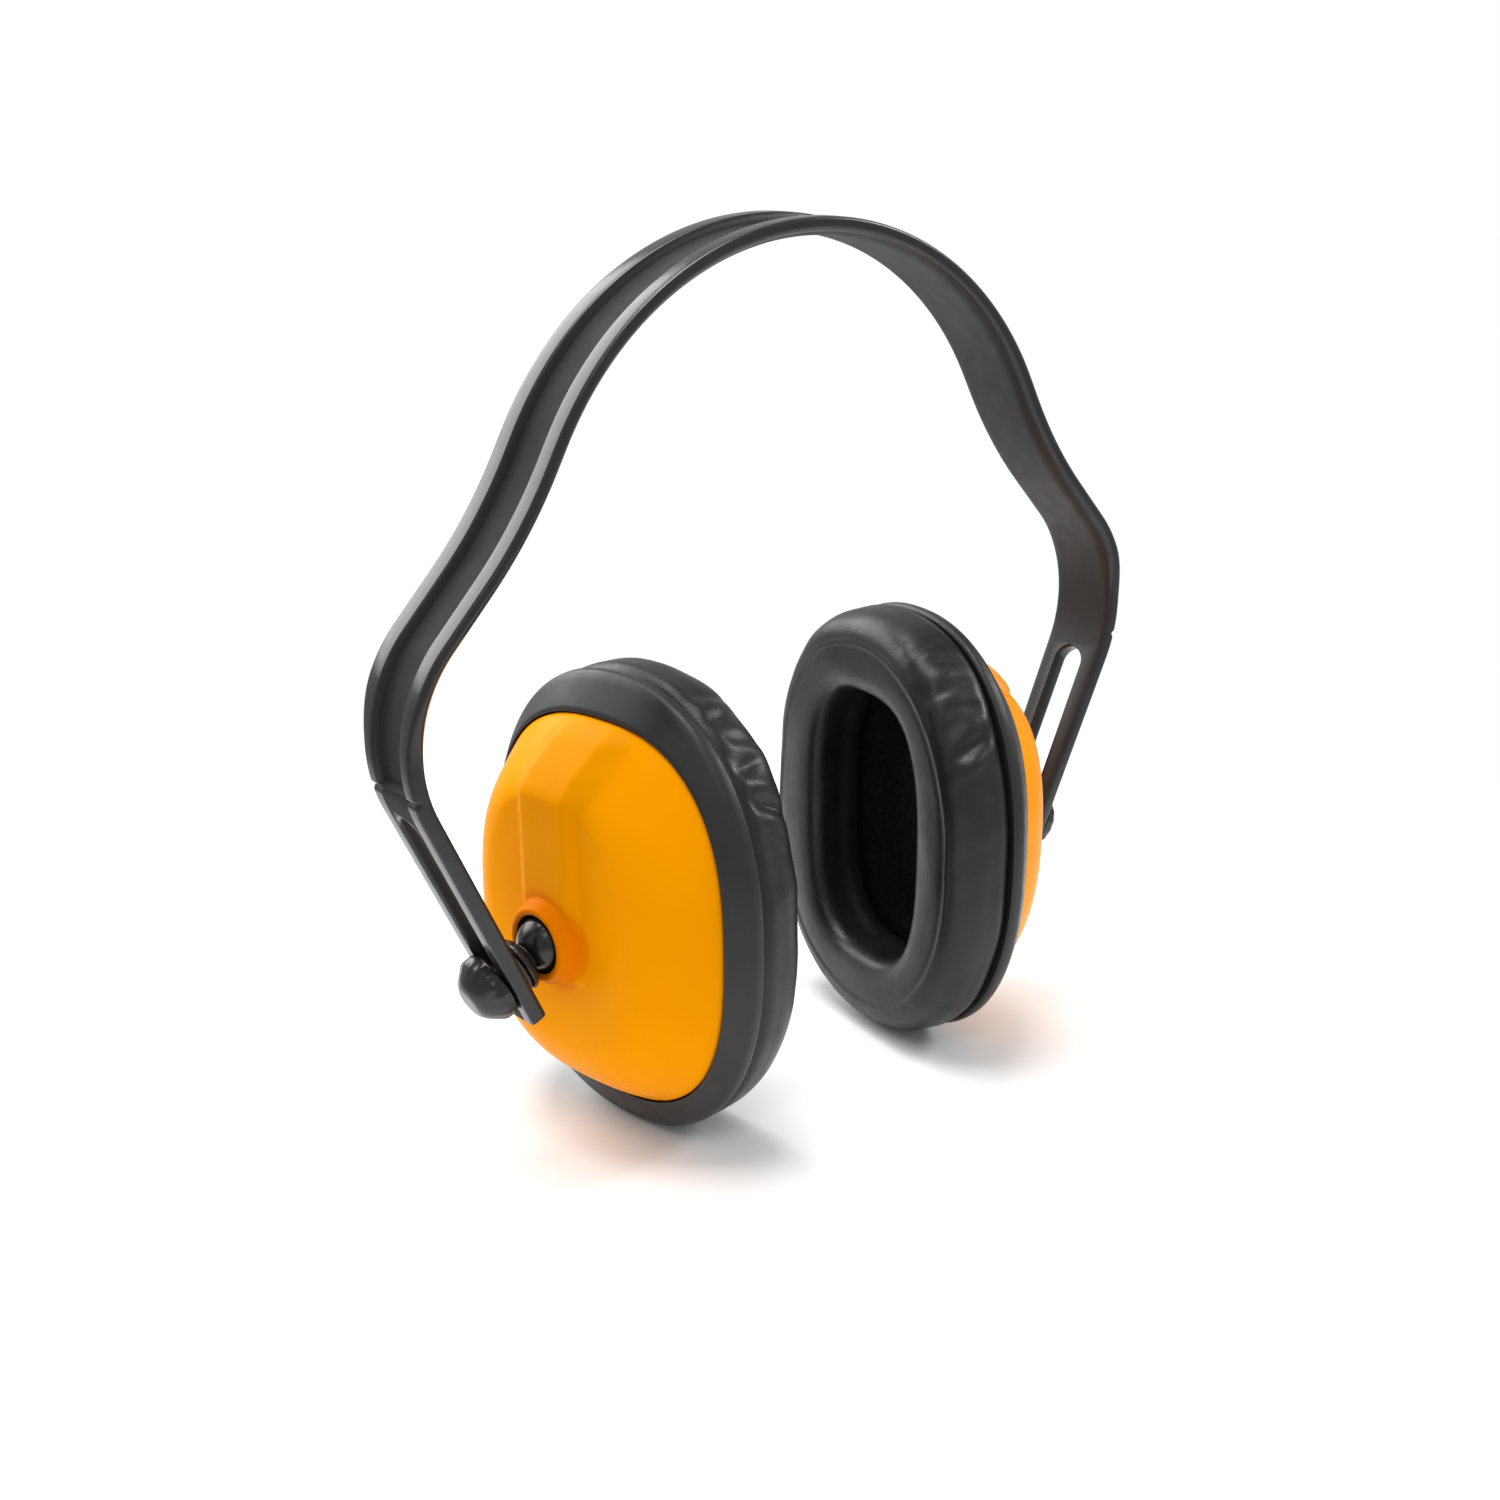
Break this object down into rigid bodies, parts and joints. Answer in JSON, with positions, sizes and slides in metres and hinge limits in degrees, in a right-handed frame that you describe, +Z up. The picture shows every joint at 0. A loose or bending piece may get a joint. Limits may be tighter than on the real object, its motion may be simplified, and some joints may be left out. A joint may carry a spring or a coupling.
{
  "type": "hearing protection earmuffs",
  "caption": "Over-the-head hearing protection earmuffs with a springy plastic headband, slotted height-adjusting legs and cushioned ear cups on ball joints.",
  "frame": {"origin": "centre of the underside, midway between the two ear cups, on the surface that the cups' lower edges touch", "axes": "+Z up as worn, -Y towards the front, where the two cups turn in towards each other, +X to the side of the nodes named right"},
  "size_m": [0.2046, 0.0842, 0.1999],
  "materials": {
    "band_black": "moulded black plastic with a soft gloss",
    "shell_orange": "smooth glossy amber-orange plastic",
    "collar_black": "satin black plastic",
    "vinyl_black": "soft black vinyl, lightly wrinkled",
    "foam_black": "open-cell black foam",
    "inner_grey": "dark grey hidden plastic"
  },
  "bodies": {
    "left_band": {"headband_left": "band_black"},
    "right_band": {"headband_right": "band_black"},
    "left_slider": {"left_adjuster_knob": "band_black", "left_friction_washer": "inner_grey"},
    "left_stud": {"left_ball_stud": "band_black"},
    "left_bush": {"left_ball_bush": "collar_black"},
    "left_cup": {"left_cup_shell": "shell_orange", "left_collar_ring": "collar_black", "left_foam_liner": "foam_black", "left_cushion_plate": "inner_grey", "left_cushion_foam": "foam_black", "left_cushion_cover": "vinyl_black"},
    "right_slider": {"right_adjuster_knob": "band_black", "right_friction_washer": "inner_grey"},
    "right_stud": {"right_ball_stud": "band_black"},
    "right_bush": {"right_ball_bush": "collar_black"},
    "right_cup": {"right_cup_shell": "shell_orange", "right_collar_ring": "collar_black", "right_foam_liner": "foam_black", "right_cushion_plate": "inner_grey", "right_cushion_foam": "foam_black", "right_cushion_cover": "vinyl_black"}
  },
  "joints": [
    {"name": "band_flex", "type": "hinge", "parent": "left_band", "child": "right_band", "pos_m": [0, -0.00287, 0.1999], "axis": [0, -1, 0], "range_deg": [-3, 36], "stiffness_Nm_per_rad": 2.5},
    {"name": "left_height_slide", "type": "slide", "parent": "left_band", "child": "left_slider", "axis": [-0.4147, 0, 0.91], "range_m": [0, 0.04]},
    {"name": "left_stud_swivel", "type": "hinge", "parent": "left_slider", "child": "left_stud", "pos_m": [-0.06738, -0.00287, 0.05217], "axis": [-0.91, 0, -0.4147], "range_deg": [-15, 15]},
    {"name": "left_cup_tilt", "type": "hinge", "parent": "left_stud", "child": "left_bush", "pos_m": [-0.06738, -0.00287, 0.05217], "axis": [0, 1, 0], "range_deg": [-24, 1.5]},
    {"name": "left_cup_toe", "type": "hinge", "parent": "left_bush", "child": "left_cup", "pos_m": [-0.06738, -0.00287, 0.05217], "axis": [0, 0, -1], "range_deg": [-8, 8]},
    {"name": "right_height_slide", "type": "slide", "parent": "right_band", "child": "right_slider", "axis": [0.4147, 0, 0.91], "range_m": [0, 0.04]},
    {"name": "right_stud_swivel", "type": "hinge", "parent": "right_slider", "child": "right_stud", "pos_m": [0.06738, -0.00287, 0.05217], "axis": [0.91, 0, -0.4147], "range_deg": [-15, 15]},
    {"name": "right_cup_tilt", "type": "hinge", "parent": "right_stud", "child": "right_bush", "pos_m": [0.06738, -0.00287, 0.05217], "axis": [0, -1, 0], "range_deg": [-24, 1.5]},
    {"name": "right_cup_toe", "type": "hinge", "parent": "right_bush", "child": "right_cup", "pos_m": [0.06738, -0.00287, 0.05217], "axis": [0, 0, 1], "range_deg": [-8, 8]}
  ]
}
